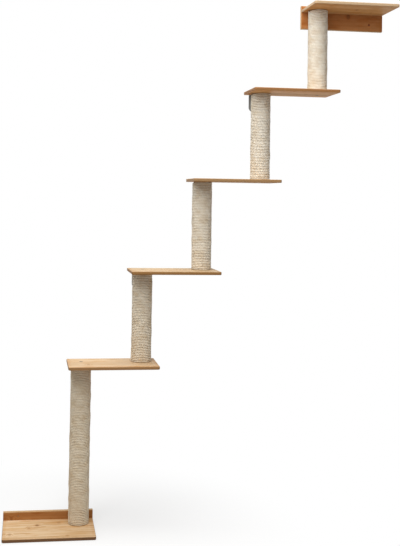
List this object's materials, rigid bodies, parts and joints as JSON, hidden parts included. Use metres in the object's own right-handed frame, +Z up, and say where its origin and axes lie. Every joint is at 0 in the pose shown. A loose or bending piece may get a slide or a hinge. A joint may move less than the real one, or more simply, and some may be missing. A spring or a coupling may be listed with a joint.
{
  "type": "wall mounted cat tree",
  "caption": "Wall mounted cat tree: pine boards stepping up to the right on sisal-wound posts, with wall battens at the foot and the top and steel angles between.",
  "frame": {"origin": "middle of the base batten's lower edge on its wall face: the line where the wall meets the floor, halfway along the base board", "axes": "+Z up, +Y into the wall, so the boards reach out towards -Y, and +X to the right, the way the steps climb"},
  "size_m": [1.75, 0.258, 2.387],
  "materials": {
    "pine": "clear satin oil on knotty pine",
    "core_timber": "raw turned timber",
    "sisal": "matt natural sisal rope",
    "zinc_steel": "bright zinc plate",
    "bracket_steel": "grey zinc, matt"
  },
  "bodies": {
    "root": {"base_board": "pine", "shelf_1": "pine", "shelf_2": "pine", "shelf_3": "pine", "shelf_4": "pine", "top_shelf": "pine", "base_wall_batten": "pine", "top_wall_batten": "pine", "post_1_core": "core_timber", "post_2_core": "core_timber", "post_3_core": "core_timber", "post_4_core": "core_timber", "post_5_core": "core_timber", "post_1_sisal": "sisal", "post_2_sisal": "sisal", "post_3_sisal": "sisal", "post_4_sisal": "sisal", "post_5_sisal": "sisal", "post_foot_screws": "zinc_steel", "post_top_screws": "zinc_steel", "base_batten_screws": "zinc_steel", "top_batten_screws": "zinc_steel", "bracket_screws": "zinc_steel", "shelf_brackets": "bracket_steel"}
  },
  "joints": []
}
